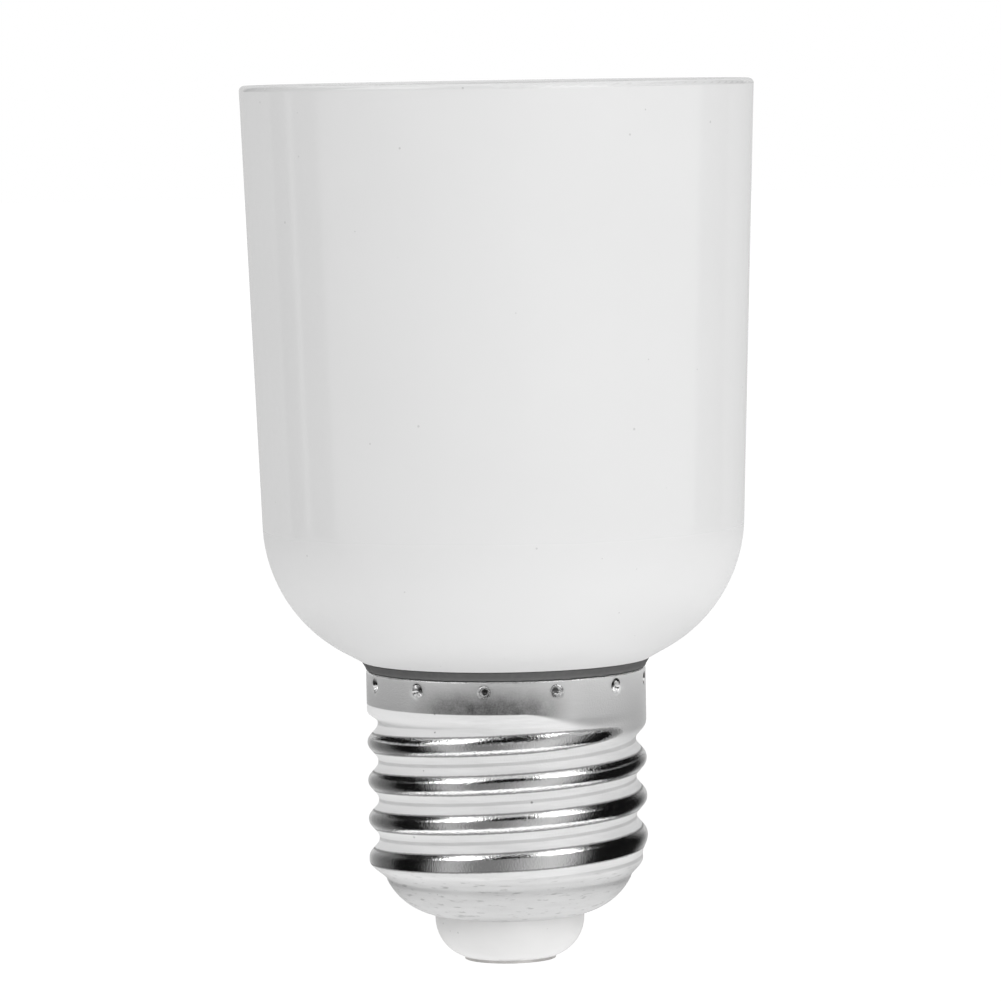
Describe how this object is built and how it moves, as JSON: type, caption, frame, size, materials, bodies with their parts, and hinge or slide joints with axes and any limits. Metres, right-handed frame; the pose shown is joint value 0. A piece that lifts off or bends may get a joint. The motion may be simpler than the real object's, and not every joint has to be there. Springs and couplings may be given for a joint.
{
  "type": "lamp socket adapter",
  "caption": "White cup-shaped lamp socket adapter: a rolled-thread metal screw cap below, and in its open mouth a wider threaded lamp socket with a sprung centre contact.",
  "frame": {"origin": "centre of the screw cap's tip contact face", "axes": "+Z along the common axis, from the screw cap's tip up to the cup's mouth; -Y towards the viewer of the picture, +X to the right"},
  "size_m": [0.048, 0.048, 0.0825],
  "materials": {
    "white_plastic": "gloss",
    "dark_rubber": "matte",
    "bright_metal": "polished",
    "white_insulator": "satin",
    "contact_metal": "satin",
    "socket_metal": "satin",
    "carrier_plastic": "satin",
    "spring_bronze": "satin",
    "rivet_brass": "satin",
    "screw_steel": "satin",
    "tag_brass": "satin",
    "solder": "satin",
    "live_insulation": "satin",
    "shell_insulation": "satin"
  },
  "bodies": {
    "adapter": {"housing": "white_plastic", "neck_seal": "dark_rubber", "e27_shell": "bright_metal", "e27_insulator": "white_insulator", "e27_tip_contact": "contact_metal", "e40_shell": "socket_metal", "contact_carrier": "carrier_plastic", "contact_leaf": "spring_bronze", "contact_rivets": "rivet_brass", "carrier_screws": "screw_steel", "live_tag": "tag_brass", "shell_tag": "tag_brass", "solder_joints": "solder", "live_wire": "live_insulation", "shell_wire": "shell_insulation"},
    "centre_contact": {"contact_button": "contact_metal"}
  },
  "joints": [
    {"name": "contact_press", "type": "slide", "parent": "adapter", "child": "centre_contact", "axis": [0, 0, 1], "range_m": [-0.0015, 0], "stiffness_N_per_m": 2000, "deforming": ["contact_leaf"]}
  ]
}
